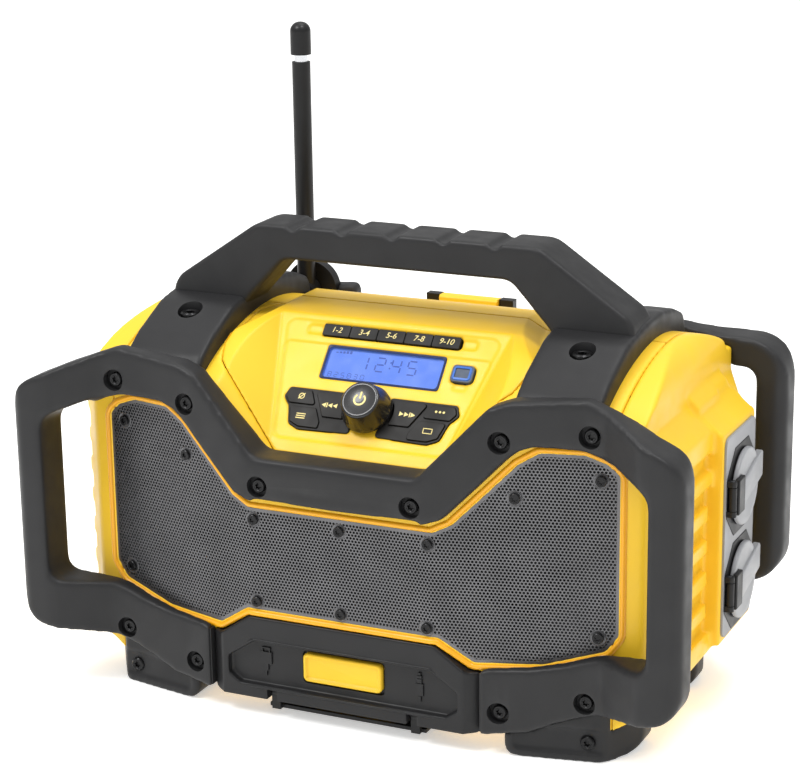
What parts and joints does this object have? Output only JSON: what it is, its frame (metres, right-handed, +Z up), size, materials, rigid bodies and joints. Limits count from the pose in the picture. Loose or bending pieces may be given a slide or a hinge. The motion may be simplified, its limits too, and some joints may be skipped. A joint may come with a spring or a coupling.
{
  "type": "jobsite radio",
  "caption": "Jobsite radio: faceted housing in a roll cage with carry handle, speaker grille, sloped control head, side outlets, folding antenna, front media door and rear battery door.",
  "frame": {"origin": "on the floor below the middle of the cage's bounding box", "axes": "+X to the right seen from the front, +Y to the back, +Z up"},
  "size_m": [0.4538, 0.24, 0.418],
  "materials": {
    "yellow_plastic": "semi-gloss moulded ABS",
    "black_rubber": "fine matte grain, overmoulded",
    "black_plastic": "fine texture",
    "grille_steel": "perforated sheet, dark grey powder coat",
    "baffle_black": "flat",
    "speaker_black": "paper cone and pressed basket",
    "screw_black": "black oxide",
    "grey_plastic": "light grey, fine texture",
    "flap_grey": "mid grey, fine texture",
    "lcd_blue": "backlit display",
    "clear_window": "clear",
    "chrome": "polished",
    "board_green": "solder mask",
    "iron": "lacquered laminations",
    "steel": "plain"
  },
  "bodies": {
    "housing": {"front_housing": "yellow_plastic", "rear_housing": "yellow_plastic", "side_cover_left": "yellow_plastic", "side_cover_right": "yellow_plastic", "control_fascia": "yellow_plastic", "front_frame": "black_rubber", "rear_frame": "black_rubber", "strap_left": "black_rubber", "strap_right": "black_rubber", "carry_handle": "black_rubber", "speaker_grille": "grille_steel", "speaker_baffle": "baffle_black", "front_feet": "black_rubber", "rear_feet": "black_rubber", "speaker_left": "speaker_black", "speaker_right": "speaker_black", "control_board": "board_green", "display_module": "lcd_blue", "display_window": "clear_window", "keypad_bezels": "black_plastic", "key_membrane": "grey_plastic", "power_transformer": "iron", "charger_board": "board_green", "battery_bay": "black_plastic", "battery_terminals": "black_plastic", "socket_panel": "grey_plastic", "outlet_inserts": "black_plastic", "flap_hinges": "black_plastic", "media_bay": "black_plastic", "media_ports": "black_plastic", "antenna_bracket": "black_plastic", "frame_screws": "screw_black", "grille_screws": "screw_black", "strap_bolts": "screw_black", "hinge_plate": "black_plastic", "hinge_pins": "steel"},
    "encoder_plunger": {"encoder_plunger": "steel"},
    "volume_knob": {"volume_knob": "black_plastic"},
    "media_door": {"media_door": "black_plastic"},
    "media_latch": {"media_latch": "yellow_plastic"},
    "battery_door": {"battery_door": "black_plastic"},
    "battery_latch": {"battery_latch": "yellow_plastic"},
    "outlet_flap_upper": {"outlet_flap_upper": "flap_grey"},
    "outlet_flap_lower": {"outlet_flap_lower": "flap_grey"},
    "antenna": {"antenna_mast": "black_rubber", "antenna_neck": "chrome", "antenna_tip": "black_rubber"},
    "key_mute": {"key_mute": "black_plastic"},
    "key_menu": {"key_menu": "black_plastic"},
    "key_previous": {"key_previous": "black_plastic"},
    "key_next": {"key_next": "black_plastic"},
    "key_mode": {"key_mode": "black_plastic"},
    "key_display": {"key_display": "black_plastic"},
    "preset_key_1": {"preset_key_1": "black_plastic"},
    "preset_key_2": {"preset_key_2": "black_plastic"},
    "preset_key_3": {"preset_key_3": "black_plastic"},
    "preset_key_4": {"preset_key_4": "black_plastic"},
    "preset_key_5": {"preset_key_5": "black_plastic"},
    "pairing_button": {"pairing_button": "black_plastic"}
  },
  "joints": [
    {"name": "encoder_press", "type": "slide", "parent": "housing", "child": "encoder_plunger", "axis": [0, 0.7343, -0.6788], "range_m": [0, 0.0012], "stiffness_N_per_m": 900},
    {"name": "knob_turn", "type": "hinge", "parent": "encoder_plunger", "child": "volume_knob", "pos_m": [0, -0.05856, 0.19844], "axis": [0, -0.7343, 0.6788], "continuous": true},
    {"name": "media_door_hinge", "type": "hinge", "parent": "housing", "child": "media_door", "pos_m": [0, -0.098, 0.0162], "axis": [1, 0, 0], "range_deg": [0, 90]},
    {"name": "media_latch_press", "type": "slide", "parent": "media_door", "child": "media_latch", "axis": [0, 1, 0], "range_m": [0, 0.003], "stiffness_N_per_m": 700},
    {"name": "battery_door_hinge", "type": "hinge", "parent": "housing", "child": "battery_door", "pos_m": [0, 0.108, 0.0475], "axis": [-1, 0, 0], "range_deg": [0, 95]},
    {"name": "battery_latch_hinge", "type": "hinge", "parent": "battery_door", "child": "battery_latch", "pos_m": [0, 0.1065, 0.229], "axis": [-1, 0, 0], "range_deg": [0, 60]},
    {"name": "outlet_flap_upper_hinge", "type": "hinge", "parent": "housing", "child": "outlet_flap_upper", "pos_m": [0.2178, 0.009, 0.147], "axis": [0, 0, -1], "range_deg": [0, 110]},
    {"name": "outlet_flap_lower_hinge", "type": "hinge", "parent": "housing", "child": "outlet_flap_lower", "pos_m": [0.2178, 0.009, 0.084], "axis": [0, 0, -1], "range_deg": [0, 110]},
    {"name": "antenna_hinge", "type": "hinge", "parent": "housing", "child": "antenna", "pos_m": [-0.117, 0.09, 0.2315], "axis": [0, 1, 0], "range_deg": [0, 90]},
    {"name": "key_mute_press", "type": "slide", "parent": "housing", "child": "key_mute", "axis": [0, 0.7343, -0.6788], "range_m": [0, 0.001], "stiffness_N_per_m": 500},
    {"name": "key_menu_press", "type": "slide", "parent": "housing", "child": "key_menu", "axis": [0, 0.7343, -0.6788], "range_m": [0, 0.001], "stiffness_N_per_m": 500},
    {"name": "key_previous_press", "type": "slide", "parent": "housing", "child": "key_previous", "axis": [0, 0.7343, -0.6788], "range_m": [0, 0.001], "stiffness_N_per_m": 500},
    {"name": "key_next_press", "type": "slide", "parent": "housing", "child": "key_next", "axis": [0, 0.7343, -0.6788], "range_m": [0, 0.001], "stiffness_N_per_m": 500},
    {"name": "key_mode_press", "type": "slide", "parent": "housing", "child": "key_mode", "axis": [0, 0.7343, -0.6788], "range_m": [0, 0.001], "stiffness_N_per_m": 500},
    {"name": "key_display_press", "type": "slide", "parent": "housing", "child": "key_display", "axis": [0, 0.7343, -0.6788], "range_m": [0, 0.001], "stiffness_N_per_m": 500},
    {"name": "preset_key_1_press", "type": "slide", "parent": "housing", "child": "preset_key_1", "axis": [0, 0.7343, -0.6788], "range_m": [0, 0.001], "stiffness_N_per_m": 500},
    {"name": "preset_key_2_press", "type": "slide", "parent": "housing", "child": "preset_key_2", "axis": [0, 0.7343, -0.6788], "range_m": [0, 0.001], "stiffness_N_per_m": 500},
    {"name": "preset_key_3_press", "type": "slide", "parent": "housing", "child": "preset_key_3", "axis": [0, 0.7343, -0.6788], "range_m": [0, 0.001], "stiffness_N_per_m": 500},
    {"name": "preset_key_4_press", "type": "slide", "parent": "housing", "child": "preset_key_4", "axis": [0, 0.7343, -0.6788], "range_m": [0, 0.001], "stiffness_N_per_m": 500},
    {"name": "preset_key_5_press", "type": "slide", "parent": "housing", "child": "preset_key_5", "axis": [0, 0.7343, -0.6788], "range_m": [0, 0.001], "stiffness_N_per_m": 500},
    {"name": "pairing_button_press", "type": "slide", "parent": "housing", "child": "pairing_button", "axis": [0, 0.7343, -0.6788], "range_m": [0, 0.001], "stiffness_N_per_m": 500}
  ]
}
